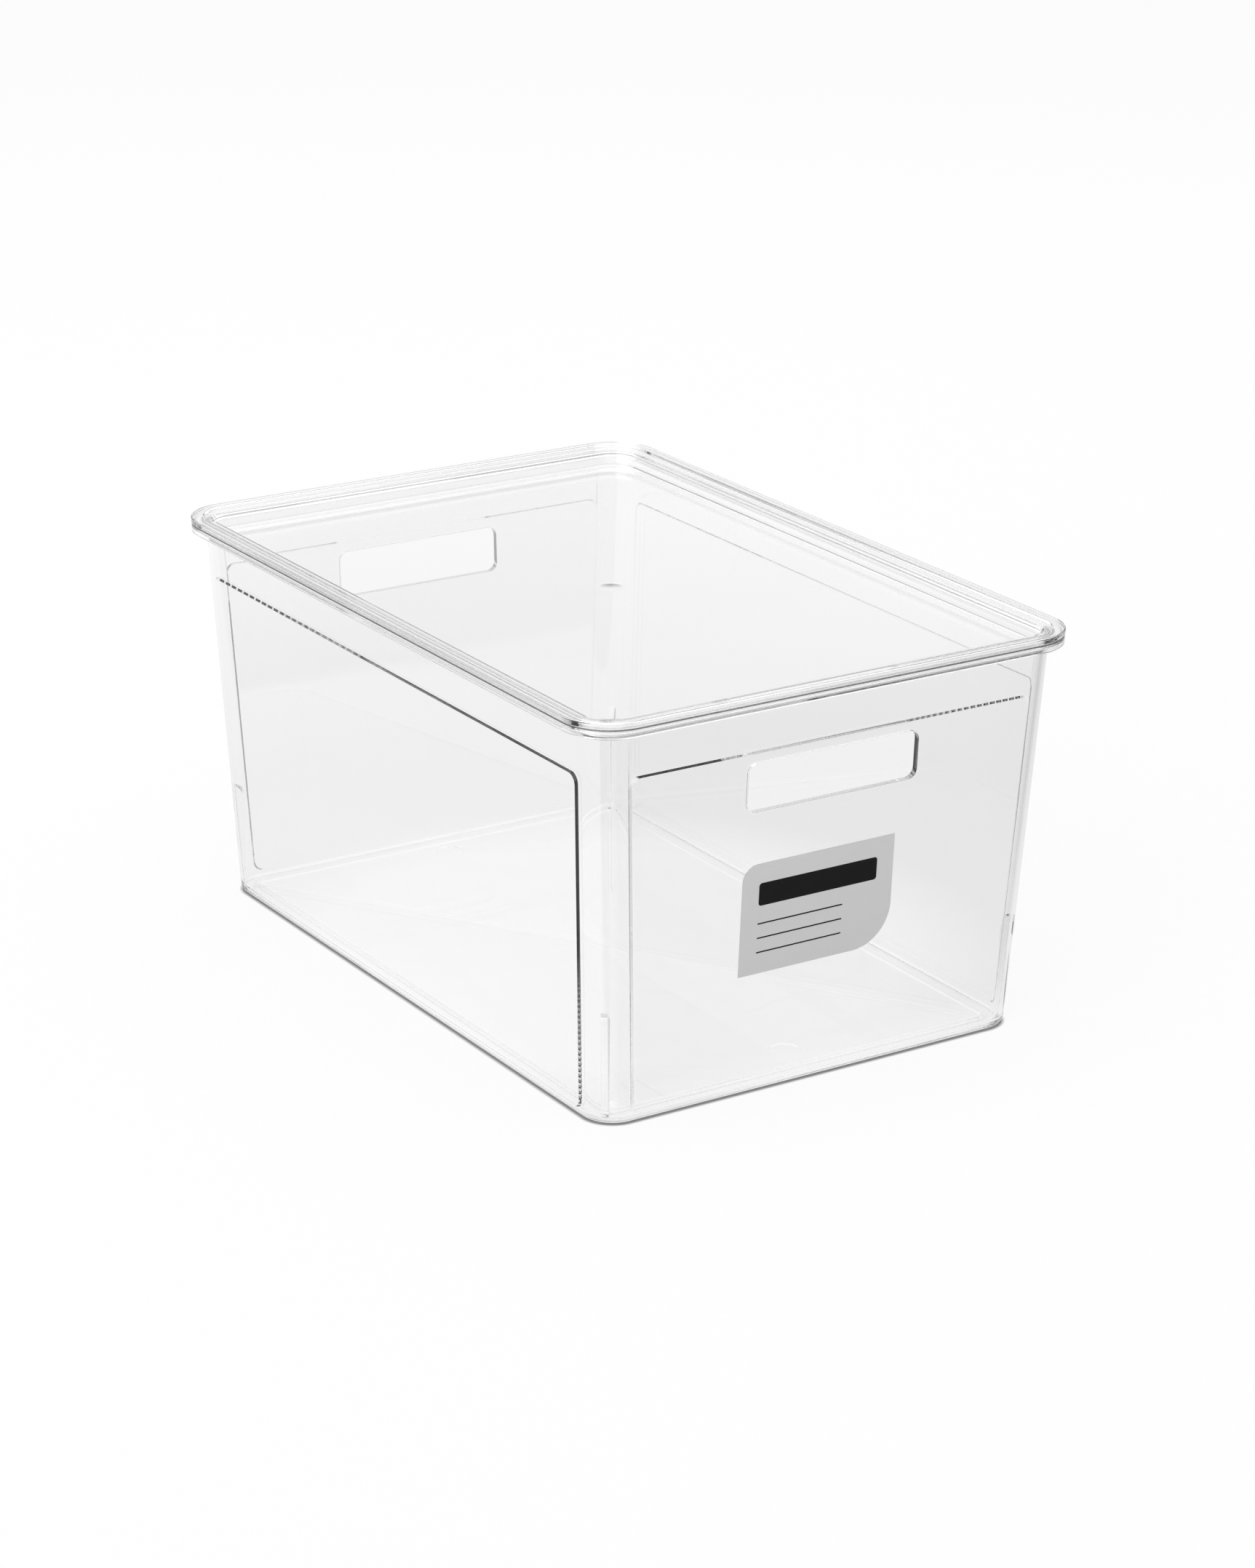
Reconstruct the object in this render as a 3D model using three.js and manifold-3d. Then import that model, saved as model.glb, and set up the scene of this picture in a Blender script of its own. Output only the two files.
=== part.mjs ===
// Clear storage box: a tapered tub with hand slots, a drop-in lid and a contents label on the front end.
// Millimetres, +Z up. The origin is the middle of the base, X is the width, Y the length, -Y the front.
import * as THREE from 'three';
import { mergeVertices } from 'three/addons/utils/BufferGeometryUtils.js';
import Module from 'manifold-3d';

const wasm = await Module();
wasm.setup();

// Overall size, lid on
const LENGTH = 385;
const WIDTH = 265;
const HEIGHT = 195;

// Tub wall: thickness, inward lean per millimetre down, and corner radius
const WALL = 2.2;
const DRAFT = 0.0516;
const WALL_CORNER = 16;
const RIM_CORNER = 24;
const RIM_OVERHANG = 7.5;

// Rim of the tub: flange with a fillet under it, and a downturned lip
const FLANGE = 1.8;
const FLANGE_FILLET = 3;
const LIP = 1.8;
const LIP_DROP = 4.1;
const RIM_INSET = 0.3;

// Floor: thickness, foot ring round the edge, raised middle
const FLOOR = 2.4;
const FOOT_WIDTH = 9.5;
const FOOT_RISE = 0.9;
const BASE_ROUND = 3.2;
const FLOOR_FILLET = 3;

// Raised panels on the four sides: they stand out most at the top and fade into the wall downwards
const PANEL_STEP = 0.85;
const PANEL_FADE = 0.15;
const PANEL_MARGIN = 16.7;
const PANEL_CORNER = 5;
const PANEL_BOTTOM = 4.2;
const BAND_HEIGHT = 26;

// Hand slots in the short ends
const SLOT_WIDTH = 91.2;
const SLOT_HEIGHT = 23;
const SLOT_CORNER = 4.5;
const SLOT_BELOW_BAND = 5;

// Ribs in the inner corners
const RIB_TOP = 54.3;
const RIB_WIDTH = 3.3;
const RIB_REACH = 5;

// Lid: thick raised rim round the edge, thinner sheet within it, plug wall and sunken panel
const LID_RIM_HEIGHT = 2.8;
const LID_RIM_WIDTH = 6.8;
const LID_SHEET = 1.5;
const LID_WALL = 1.4;
const LID_RECESS = 9.4;
const LID_ROUND = 0.7;
const SEAT_GAP = 0.3;
const PLUG_GAP = 0.4;

// Shallow dimples: two in the floor, one in the lid
const DIMPLE_RADIUS = 8;
const DIMPLE_BOTTOM_RADIUS = 3;
const DIMPLE_DEPTH = 0.25;
const FLOOR_DIMPLE_FROM_END = 43.5;

// Label on the front panel
const LABEL_WIDTH = 82;
const LABEL_HEIGHT = 53.5;
const LABEL_LEFT = -46.5;
const LABEL_BOTTOM = 59.5;
const LABEL_THICKNESS = 0.3;
const LABEL_GAP = 0.2;
const LABEL_SMALL_CORNER = 8;
const LABEL_LARGE_CORNER = 20;

// Fineness of rounded corners in plan and of rounded edges in section
const PLAN_STEPS = 6;
const EDGE_STEPS = 3;

// Points closer than this are one corner
const WELD = 1e-4;

// Levels derived from the sizes above
const lidUnder = HEIGHT - LID_RIM_HEIGHT;
const lidShelf = lidUnder + LID_SHEET;
const lidPanelTop = HEIGHT - LID_RECESS;
const lidPanelUnder = lidPanelTop - LID_SHEET;
const rimTop = lidUnder - SEAT_GAP;
const flangeUnder = rimTop - FLANGE;
const lipBottom = rimTop - LIP_DROP;
const bandBottom = rimTop - BAND_HEIGHT;
const slotTop = bandBottom - SLOT_BELOW_BAND;
const lean = Math.atan(DRAFT);

// Distance in from the lid's outline of the wall's two faces, and of the lid's plug and recess walls
function wallInset(z) {
  return RIM_OVERHANG + DRAFT * (rimTop - z);
}

function innerInset(z) {
  return wallInset(z) + WALL;
}

function plugInset(z) {
  return innerInset(z) + PLUG_GAP;
}

function recessInset(z) {
  return plugInset(z) + LID_WALL;
}

// Corner radius in plan: it tightens from the rim to the wall, then runs concentric inside the wall
function cornerRadius(inset, z) {
  const wall = wallInset(z);
  if (inset < wall) {
    return THREE.MathUtils.mapLinear(inset, 0, wall, RIM_CORNER, WALL_CORNER);
  }
  return Math.max(WALL_CORNER - (inset - wall), WALL);
}

function roundedRectangle(halfX, halfY, radius) {
  const shape = new THREE.Shape();
  shape.absarc(halfX - radius, halfY - radius, radius, 0, Math.PI / 2);
  shape.absarc(radius - halfX, halfY - radius, radius, Math.PI / 2, Math.PI);
  shape.absarc(radius - halfX, radius - halfY, radius, Math.PI, 1.5 * Math.PI);
  shape.absarc(halfX - radius, radius - halfY, radius, 1.5 * Math.PI, 2 * Math.PI);
  shape.closePath();
  return shape;
}

// One ring of the sweep: the rounded outline at a given inset and height
function ringAt(inset, z) {
  const outline = roundedRectangle(WIDTH / 2 - inset, LENGTH / 2 - inset, cornerRadius(inset, z));
  const points = outline.getPoints(PLAN_STEPS);
  points.pop();
  return points.map((point) => new THREE.Vector3(point.x, point.y, z));
}

// Carries a section, drawn as inset and height, all the way round the box and closes both ends
function sweepRound(section) {
  const rings = section.getPoints(EDGE_STEPS).map((point) => ringAt(point.x, point.y));
  const count = rings[0].length;
  const points = rings.flat();
  const triangles = [];
  for (let start = 0; start + count < points.length; start += count) {
    for (let step = 0; step < count; step += 1) {
      const next = (step + 1) % count;
      triangles.push(start + step, start + next, start + count + next);
      triangles.push(start + step, start + count + next, start + count + step);
    }
  }
  const last = points.length - count;
  const lowMiddle = points.push(new THREE.Vector3(0, 0, points[0].z)) - 1;
  const highMiddle = points.push(new THREE.Vector3(0, 0, points[last].z)) - 1;
  for (let step = 0; step < count; step += 1) {
    const next = (step + 1) % count;
    triangles.push(lowMiddle, next, step);
    triangles.push(highMiddle, last + step, last + next);
  }
  return new THREE.BufferGeometry().setFromPoints(points).setIndex(triangles);
}

function solidOf(geometry) {
  const bare = geometry.clone();
  bare.deleteAttribute('normal');
  bare.deleteAttribute('uv');
  const closed = mergeVertices(bare, WELD);
  return new wasm.Manifold(new wasm.Mesh({
    numProp: 3,
    vertProperties: new Float32Array(closed.attributes.position.array),
    triVerts: new Uint32Array(closed.index.array),
  }));
}

function geometryOf(solid) {
  const mesh = solid.getMesh();
  const geometry = new THREE.BufferGeometry();
  geometry.setAttribute('position', new THREE.BufferAttribute(mesh.vertProperties, 3));
  geometry.setIndex(new THREE.BufferAttribute(mesh.triVerts, 1));
  geometry.computeVertexNormals();
  return geometry;
}

// Sets a form drawn as across, up the slope and out along the normal onto the outer face of a side wall
function setOnWall(form, facing) {
  const reach = facing.lengthways ? LENGTH / 2 : WIDTH / 2;
  form.rotateX(Math.PI / 2 + lean);
  form.translate(0, wallInset(0) - reach, 0);
  form.rotateZ(facing.turn);
  return solidOf(form);
}

// A plate on a side wall: its two faces are heights off the wall, given for each distance up the slope
function plateOnWall(shape, backFace, frontFace, facing) {
  const plate = new THREE.ExtrudeGeometry(shape, {
    depth: 1,
    bevelEnabled: false,
    curveSegments: PLAN_STEPS,
  });
  const places = plate.attributes.position;
  for (let index = 0; index < places.count; index += 1) {
    const face = places.getZ(index) > 0 ? frontFace : backFace;
    places.setZ(index, face(places.getY(index)));
  }
  return setOnWall(plate, facing);
}

const front = { lengthways: true, turn: 0 };
const right = { lengthways: false, turn: Math.PI / 2 };
const back = { lengthways: true, turn: Math.PI };
const left = { lengthways: false, turn: -Math.PI / 2 };

function upSlope(z) {
  return z / Math.cos(lean);
}

// How far a raised panel stands out at a distance up the slope
function panelOut(up) {
  return THREE.MathUtils.mapLinear(up, upSlope(PANEL_BOTTOM), upSlope(bandBottom), PANEL_FADE, PANEL_STEP);
}

// A four-sided outline with rounded corners, wider at the top than at the bottom
function taperedOutline(topHalf, bottomHalf, low, high, radius) {
  const corners = [
    new THREE.Vector2(bottomHalf, low),
    new THREE.Vector2(topHalf, high),
    new THREE.Vector2(-topHalf, high),
    new THREE.Vector2(-bottomHalf, low),
  ];
  const shape = new THREE.Shape();
  corners.forEach((corner, index) => {
    const before = corners[(index + 3) % 4];
    const after = corners[(index + 1) % 4];
    const entry = corner.clone().add(before.clone().sub(corner).setLength(radius));
    const leave = corner.clone().add(after.clone().sub(corner).setLength(radius));
    if (index === 0) {
      shape.moveTo(entry.x, entry.y);
    } else {
      shape.lineTo(entry.x, entry.y);
    }
    shape.quadraticCurveTo(corner.x, corner.y, leave.x, leave.y);
  });
  shape.closePath();
  return shape;
}

function sidePanel(facing) {
  const reach = (facing.lengthways ? WIDTH : LENGTH) / 2 - PANEL_MARGIN;
  const outline = taperedOutline(
    reach - wallInset(bandBottom),
    reach - wallInset(PANEL_BOTTOM),
    upSlope(PANEL_BOTTOM),
    upSlope(bandBottom),
    PANEL_CORNER,
  );
  return plateOnWall(outline, () => -WALL / 2, panelOut, facing);
}

// The hand slot: straight through the panel and the wall
function handSlot(facing) {
  const half = SLOT_WIDTH / 2;
  const bottom = slotTop - SLOT_HEIGHT;
  const outline = taperedOutline(half, half, upSlope(bottom), upSlope(slotTop), SLOT_CORNER);
  return plateOnWall(outline, () => -2 * WALL, () => 2 * PANEL_STEP, facing);
}

// Tub shell: foot, outer wall, flange, lip, inner wall and floor in one section
const footInset = wallInset(0) + FOOT_WIDTH;
const filletFoot = flangeUnder - FLANGE_FILLET;
const tubSection = new THREE.Path();
tubSection.moveTo(footInset + FOOT_RISE, FOOT_RISE);
tubSection.lineTo(footInset, 0);
tubSection.lineTo(wallInset(0) + BASE_ROUND, 0);
tubSection.quadraticCurveTo(wallInset(0), 0, wallInset(BASE_ROUND), BASE_ROUND);
tubSection.lineTo(wallInset(filletFoot), filletFoot);
tubSection.quadraticCurveTo(
  wallInset(flangeUnder),
  flangeUnder,
  wallInset(flangeUnder) - FLANGE_FILLET,
  flangeUnder,
);
tubSection.lineTo(RIM_INSET + LIP, flangeUnder);
tubSection.lineTo(RIM_INSET + LIP, lipBottom);
tubSection.lineTo(RIM_INSET + LIP / 4, lipBottom);
tubSection.quadraticCurveTo(RIM_INSET, lipBottom, RIM_INSET, lipBottom + LIP / 4);
tubSection.lineTo(RIM_INSET, rimTop - LIP / 3);
tubSection.quadraticCurveTo(RIM_INSET, rimTop, RIM_INSET + LIP / 3, rimTop);
tubSection.lineTo(innerInset(rimTop) - WALL / 3, rimTop);
tubSection.quadraticCurveTo(innerInset(rimTop), rimTop, innerInset(rimTop - WALL / 3), rimTop - WALL / 3);
tubSection.lineTo(innerInset(FLOOR + FLOOR_FILLET), FLOOR + FLOOR_FILLET);
tubSection.quadraticCurveTo(innerInset(FLOOR), FLOOR, innerInset(FLOOR) + FLOOR_FILLET, FLOOR);
tubSection.lineTo(footInset + FOOT_RISE, FLOOR);
tubSection.lineTo(footInset + 2 * FOOT_RISE, FLOOR + FOOT_RISE);

// A rib runs down each inner corner: rounded at the top, upright, so it fades into the sloping wall
function cornerRib(signX, signY) {
  const faceAt = (z) => WALL_CORNER - WALL - Math.SQRT2 * wallInset(z);
  const edge = faceAt(RIB_TOP) - RIB_REACH;
  const shape = new THREE.Shape();
  shape.moveTo(faceAt(FLOOR / 2) + WALL / 2, FLOOR / 2);
  shape.lineTo(faceAt(RIB_TOP) + WALL / 2, RIB_TOP);
  shape.lineTo(faceAt(RIB_TOP), RIB_TOP);
  shape.quadraticCurveTo(edge, RIB_TOP, edge, RIB_TOP - RIB_REACH);
  shape.lineTo(edge, FLOOR / 2);
  shape.closePath();
  const rib = new THREE.ExtrudeGeometry(shape, {
    depth: RIB_WIDTH,
    bevelEnabled: false,
    curveSegments: PLAN_STEPS,
  });
  rib.translate(0, 0, -RIB_WIDTH / 2);
  rib.rotateX(Math.PI / 2);
  rib.rotateZ(Math.atan2(signY, signX));
  rib.translate(signX * (WIDTH / 2 - WALL_CORNER), signY * (LENGTH / 2 - WALL_CORNER), 0);
  return solidOf(rib);
}

function dimple(y, surface) {
  const flare = DIMPLE_RADIUS - DIMPLE_BOTTOM_RADIUS;
  const cutter = new THREE.CylinderGeometry(
    DIMPLE_RADIUS + flare,
    DIMPLE_BOTTOM_RADIUS,
    2 * DIMPLE_DEPTH,
    4 * PLAN_STEPS,
  );
  cutter.rotateX(Math.PI / 2);
  cutter.translate(0, y, surface);
  return solidOf(cutter);
}

function buildTub() {
  let tub = solidOf(sweepRound(tubSection));
  for (const facing of [front, right, back, left]) {
    tub = tub.add(sidePanel(facing));
  }
  for (const facing of [front, back]) {
    tub = tub.subtract(handSlot(facing));
  }
  for (const signX of [-1, 1]) {
    for (const signY of [-1, 1]) {
      tub = tub.add(cornerRib(signX, signY));
    }
  }
  const dimpleY = LENGTH / 2 - FLOOR_DIMPLE_FROM_END;
  return tub.subtract(dimple(dimpleY, FLOOR + FOOT_RISE)).subtract(dimple(-dimpleY, FLOOR + FOOT_RISE));
}

// Lid: sunken panel, plug wall that follows the tub's wall, narrow shelf and a raised rim round the edge
function buildLid() {
  const recessFoot = recessInset(lidPanelTop);
  const shelfEdge = recessInset(lidShelf);
  const rimInner = LID_RIM_WIDTH - LID_ROUND;
  const section = new THREE.Path();
  section.moveTo(plugInset(lidPanelUnder) + 2 * LID_ROUND, lidPanelUnder);
  section.quadraticCurveTo(
    plugInset(lidPanelUnder),
    lidPanelUnder,
    plugInset(lidPanelUnder + LID_ROUND),
    lidPanelUnder + LID_ROUND,
  );
  section.lineTo(plugInset(lidUnder), lidUnder);
  section.lineTo(LID_ROUND, lidUnder);
  section.quadraticCurveTo(0, lidUnder, 0, lidUnder + LID_ROUND);
  section.lineTo(0, HEIGHT - LID_ROUND);
  section.quadraticCurveTo(0, HEIGHT, LID_ROUND, HEIGHT);
  section.lineTo(rimInner - LID_ROUND, HEIGHT);
  section.quadraticCurveTo(rimInner, HEIGHT, rimInner, HEIGHT - LID_ROUND);
  section.lineTo(LID_RIM_WIDTH, lidShelf);
  section.lineTo(shelfEdge - LID_ROUND, lidShelf);
  section.quadraticCurveTo(shelfEdge, lidShelf, recessInset(lidShelf - LID_ROUND), lidShelf - LID_ROUND);
  section.lineTo(recessInset(lidPanelTop + LID_ROUND), lidPanelTop + LID_ROUND);
  section.quadraticCurveTo(recessFoot, lidPanelTop, recessFoot + LID_ROUND, lidPanelTop);
  return solidOf(sweepRound(section)).subtract(dimple(0, lidPanelTop));
}

// Label: two corners rounded, one small and one large, the other two square
function buildLabel() {
  const labelRight = LABEL_LEFT + LABEL_WIDTH;
  const low = upSlope(LABEL_BOTTOM);
  const high = low + LABEL_HEIGHT;
  const largeX = labelRight - LABEL_LARGE_CORNER;
  const smallX = LABEL_LEFT + LABEL_SMALL_CORNER;
  const shape = new THREE.Shape();
  shape.moveTo(LABEL_LEFT, low);
  shape.lineTo(largeX, low);
  shape.absarc(largeX, low + LABEL_LARGE_CORNER, LABEL_LARGE_CORNER, -Math.PI / 2, 0);
  shape.lineTo(labelRight, high);
  shape.lineTo(smallX, high);
  shape.absarc(smallX, high - LABEL_SMALL_CORNER, LABEL_SMALL_CORNER, Math.PI / 2, Math.PI);
  shape.closePath();
  const backFace = (up) => panelOut(up) + LABEL_GAP;
  const frontFace = (up) => backFace(up) + LABEL_THICKNESS;
  return plateOnWall(shape, backFace, frontFace, front);
}

const group = new THREE.Group();

function addPiece(name, solid, colour, roughness) {
  const material = new THREE.MeshStandardMaterial({ color: colour, roughness, metalness: 0 });
  const mesh = new THREE.Mesh(geometryOf(solid), material);
  mesh.name = name;
  group.add(mesh);
}

addPiece('tub', buildTub(), 0xe6ecee, 0.08);
addPiece('lid', buildLid(), 0xeef2f3, 0.08);
addPiece('label', buildLabel(), 0xb8b8b8, 0.5);

export default group;
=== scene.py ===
"""Looks of the clear storage box: a moulded tub, a drop-in lid and a contents label, in a plain studio."""

import logging
import math
from dataclasses import dataclass, field
from enum import Enum
from typing import Any

import bmesh
import bpy
from bmesh.types import BMEdge, BMesh, BMFace
from mathutils import Matrix, Vector
from mathutils.geometry import interpolate_bezier


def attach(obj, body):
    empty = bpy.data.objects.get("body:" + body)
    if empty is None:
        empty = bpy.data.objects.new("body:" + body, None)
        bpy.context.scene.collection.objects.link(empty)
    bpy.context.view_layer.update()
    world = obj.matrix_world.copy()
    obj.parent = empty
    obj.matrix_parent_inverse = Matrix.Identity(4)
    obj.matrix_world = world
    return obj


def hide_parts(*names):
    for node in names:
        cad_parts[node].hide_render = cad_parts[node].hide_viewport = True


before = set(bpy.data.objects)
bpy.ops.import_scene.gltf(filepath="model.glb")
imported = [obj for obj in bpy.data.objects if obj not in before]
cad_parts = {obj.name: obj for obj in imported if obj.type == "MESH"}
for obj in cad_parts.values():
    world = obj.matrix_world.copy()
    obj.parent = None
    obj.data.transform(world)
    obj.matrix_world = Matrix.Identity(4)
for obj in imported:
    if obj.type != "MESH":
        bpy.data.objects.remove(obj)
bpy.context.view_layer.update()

MM = 0.001
log = logging.getLogger("storage_box")


class Side(Enum):
    """The four side walls, each with its turn about the box's upright axis."""

    FRONT = 0.0
    RIGHT = math.pi / 2
    BACK = math.pi
    LEFT = -math.pi / 2

    @property
    def is_end(self) -> bool:
        """Whether this is one of the short end walls."""
        return self in (Side.FRONT, Side.BACK)

    @property
    def outward(self) -> Vector:
        """The level direction that the wall faces."""
        return Matrix.Rotation(self.value, 3, "Z") @ Vector((0.0, -1.0, 0.0))


def linear(hex_colour: str) -> tuple[float, float, float, float]:
    """Turns an sRGB hex colour into Blender's linear colour.

    Args:
        hex_colour: six hex digits after a hash.

    Returns:
        Linear red, green, blue and a full alpha.
    """
    values = [int(hex_colour[i : i + 2], 16) / 255 for i in (1, 3, 5)]
    bright = [v / 12.92 if v <= 0.04045 else ((v + 0.055) / 1.055) ** 2.4 for v in values]
    return (bright[0], bright[1], bright[2], 1.0)


def add_node(
    tree: bpy.types.NodeTree,
    kind: str,
    settings: dict[str | int, Any] | None = None,
    links: dict[str | int, bpy.types.NodeSocket] | None = None,
) -> bpy.types.Node:
    """Adds one shader node with its settings and links.

    Args:
        tree: the node tree that takes the node.
        kind: the node's type name.
        settings: values for its inputs, by name or number, or for its own properties.
        links: the socket that feeds each named or numbered input.

    Returns:
        The new node.
    """
    node = tree.nodes.new(kind)
    for key, value in (settings or {}).items():
        if isinstance(key, int) or key in node.inputs:
            node.inputs[key].default_value = value
        else:
            setattr(node, key, value)
    for key, socket in (links or {}).items():
        tree.links.new(socket, node.inputs[key])
    return node


def maths(
    tree: bpy.types.NodeTree, operation: str, *terms: bpy.types.NodeSocket | float
) -> bpy.types.NodeSocket:
    """Adds one sum on numbers.

    Args:
        tree: the node tree that takes the node.
        operation: the sum's name.
        terms: its terms in order, each a socket or a plain number.

    Returns:
        A socket with the result.
    """
    settings: dict[str | int, Any] = {"operation": operation}
    links: dict[str | int, bpy.types.NodeSocket] = {}
    for number, term in enumerate(terms):
        if isinstance(term, float):
            settings[number] = term
        else:
            links[number] = term
    return add_node(tree, "ShaderNodeMath", settings, links).outputs[0]


def along(
    tree: bpy.types.NodeTree, place: bpy.types.NodeSocket, direction: tuple[float, float, float]
) -> bpy.types.NodeSocket:
    """Measures how far a point lies along a direction.

    Args:
        tree: the node tree that takes the node.
        place: the point.
        direction: a direction of length 1.

    Returns:
        A socket with the distance.
    """
    node = add_node(tree, "ShaderNodeVectorMath", {"operation": "DOT_PRODUCT", 1: direction}, {0: place})
    return node.outputs["Value"]


@dataclass(frozen=True)
class Fade:
    """A level that changes steadily between two places and holds beyond them."""

    start: float
    stop: float
    first: float
    last: float

    def level(self, tree: bpy.types.NodeTree, place: bpy.types.NodeSocket) -> bpy.types.NodeSocket:
        """Reads the level at a place.

        Args:
            tree: the node tree that takes the node.
            place: a socket with the place.

        Returns:
            A socket with the level.
        """
        node = add_node(
            tree,
            "ShaderNodeMapRange",
            {"From Min": self.start, "From Max": self.stop, "To Min": self.first, "To Max": self.last},
            {"Value": place},
        )
        return node.outputs["Result"]


def new_material(name: str) -> bpy.types.Material:
    """Makes an empty node material.

    Args:
        name: the material's name.

    Returns:
        The material.
    """
    material = bpy.data.materials.new(name)
    material.use_nodes = True
    material.node_tree.nodes.clear()
    return material


def outline_gap(
    tree: bpy.types.NodeTree,
    place: bpy.types.NodeSocket,
    half: tuple[float, float],
    corner: float,
) -> bpy.types.NodeSocket:
    """Measures how far a point lies outside a rounded rectangle in plan, below 0 where it lies inside.

    Args:
        tree: the node tree that takes the nodes.
        place: the point.
        half: half the rectangle's two sizes in metres.
        corner: its corner radius in metres.

    Returns:
        A socket with the distance in metres.
    """
    core = (half[0] - corner, half[1] - corner, 1.0)
    quarter = add_node(tree, "ShaderNodeVectorMath", {"operation": "ABSOLUTE"}, {0: place})
    past = add_node(
        tree, "ShaderNodeVectorMath", {"operation": "SUBTRACT", 1: core}, {0: quarter.outputs[0]}
    )
    outside = add_node(
        tree, "ShaderNodeVectorMath", {"operation": "MAXIMUM", 1: (0.0, 0.0, 0.0)}, {0: past.outputs[0]}
    )
    reach = add_node(tree, "ShaderNodeVectorMath", {"operation": "LENGTH"}, {0: outside.outputs[0]})
    return maths(tree, "SUBTRACT", reach.outputs["Value"], corner)


@dataclass(frozen=True)
class PaintedGapShade:
    """Painted shade on the outer edge of a seat: a fine dark line painted under the lid where the gap's
    shadow falls.
    """

    tint: str
    half_mm: tuple[float, float]
    corner_mm: float
    height_mm: float
    width_mm: float
    blend_mm: float = 0.1

    def colour(
        self, tree: bpy.types.NodeTree, place: bpy.types.NodeSocket, clear: str
    ) -> bpy.types.NodeSocket:
        """Mixes the clear colour with the painted shade colour.

        Args:
            tree: the node tree that takes the nodes.
            place: the point in the object's frame.
            clear: the colour away from the edge.

        Returns:
            A socket with the colour.
        """
        half = (self.half_mm[0] * MM, self.half_mm[1] * MM)
        gap = outline_gap(tree, place, half, self.corner_mm * MM)
        outer = maths(tree, "ADD", gap, self.width_mm * MM)
        height = add_node(tree, "ShaderNodeSeparateXYZ", None, {"Vector": place}).outputs["Z"]
        above = maths(tree, "SUBTRACT", height, self.height_mm * MM)
        # Mask of the painted shade line: 1 within the given width of the seat's outline and above the given
        # height.
        share = Fade(0.0, self.blend_mm * MM, 0.0, 1.0).level(tree, maths(tree, "MINIMUM", outer, above))
        mixed = add_node(
            tree,
            "ShaderNodeMix",
            {"data_type": "RGBA", 6: linear(clear), 7: linear(self.tint)},
            {0: share},
        )
        return mixed.outputs[2]


@dataclass(frozen=True)
class ClearPlastic:
    """Clear polystyrene, injection moulded and polished: glossy, water clear, dark only along its edges."""

    name: str
    tint: str
    absorbed: str = "#707272"
    absorption_per_m: float = 2.0
    ior: float = 1.57
    smooth: float = 0.01
    hazy: float = 0.02
    haze_mm: float = 35.0
    haze_range: tuple[float, float] = (0.35, 0.7)
    flow_mm: float = 70.0
    flow_height_mm: float = 0.02
    painted_gap_shade: PaintedGapShade | None = None

    def material(self) -> bpy.types.Material:
        """Builds the finish: faint flow waves and haze over a clear body that greys with depth.

        Returns:
            The finished material.
        """
        material = new_material(self.name)
        tree = material.node_tree
        place = add_node(tree, "ShaderNodeTexCoord").outputs["Object"]
        haze = add_node(
            tree,
            "ShaderNodeTexNoise",
            {"Scale": 1 / (self.haze_mm * MM), "Detail": 3.0},
            {"Vector": place},
        )
        roughness = Fade(*self.haze_range, self.smooth, self.hazy).level(tree, haze.outputs["Fac"])
        flow = add_node(
            tree,
            "ShaderNodeTexNoise",
            {"Scale": 1 / (self.flow_mm * MM), "Detail": 1.0},
            {"Vector": place},
        )
        waves = add_node(
            tree,
            "ShaderNodeBump",
            {"Strength": 1.0, "Distance": self.flow_height_mm * MM},
            {"Height": flow.outputs["Fac"]},
        )
        body = add_node(
            tree,
            "ShaderNodeBsdfPrincipled",
            {"Base Color": linear(self.tint), "IOR": self.ior, "Transmission Weight": 1.0},
            {"Roughness": roughness, "Normal": waves.outputs["Normal"]},
        )
        # Painted shade: the tub's seat edge under the lid's edge is painted dark, for the shadow in the gap
        # between lid and rim.
        if self.painted_gap_shade:
            tree.links.new(self.painted_gap_shade.colour(tree, place, self.tint), body.inputs["Base Color"])
        depth = add_node(
            tree,
            "ShaderNodeVolumeAbsorption",
            {"Color": linear(self.absorbed), "Density": self.absorption_per_m},
        )
        add_node(
            tree,
            "ShaderNodeOutputMaterial",
            None,
            {"Surface": body.outputs["BSDF"], "Volume": depth.outputs["Volume"]},
        )
        return material


@dataclass(frozen=True)
class PrintedFilm:
    """Satin vinyl film with a flat printed colour and the fine tooth of its coating."""

    name: str
    colour: str
    shade: str
    roughness: float = 0.42
    shine: float = 0.5
    ior: float = 1.5
    tooth_mm: float = 0.6
    tooth_height_mm: float = 0.01
    tooth_strength: float = 0.5

    def material(self) -> bpy.types.Material:
        """Builds the finish: two close shades in a fine mottle, with a slight tooth.

        Returns:
            The finished material.
        """
        material = new_material(self.name)
        tree = material.node_tree
        place = add_node(tree, "ShaderNodeTexCoord").outputs["Object"]
        tooth = add_node(
            tree,
            "ShaderNodeTexNoise",
            {"Scale": 1 / (self.tooth_mm * MM), "Detail": 4.0},
            {"Vector": place},
        )
        mottle = add_node(
            tree,
            "ShaderNodeMix",
            {"data_type": "RGBA", 6: linear(self.colour), 7: linear(self.shade)},
            {0: tooth.outputs["Fac"]},
        )
        bump = add_node(
            tree,
            "ShaderNodeBump",
            {"Strength": self.tooth_strength, "Distance": self.tooth_height_mm * MM},
            {"Height": tooth.outputs["Fac"]},
        )
        film = add_node(
            tree,
            "ShaderNodeBsdfPrincipled",
            {"Roughness": self.roughness, "IOR": self.ior, "Specular IOR Level": self.shine},
            {"Base Color": mottle.outputs[2], "Normal": bump.outputs["Normal"]},
        )
        add_node(tree, "ShaderNodeOutputMaterial", None, {"Surface": film.outputs["BSDF"]})
        return material


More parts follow.
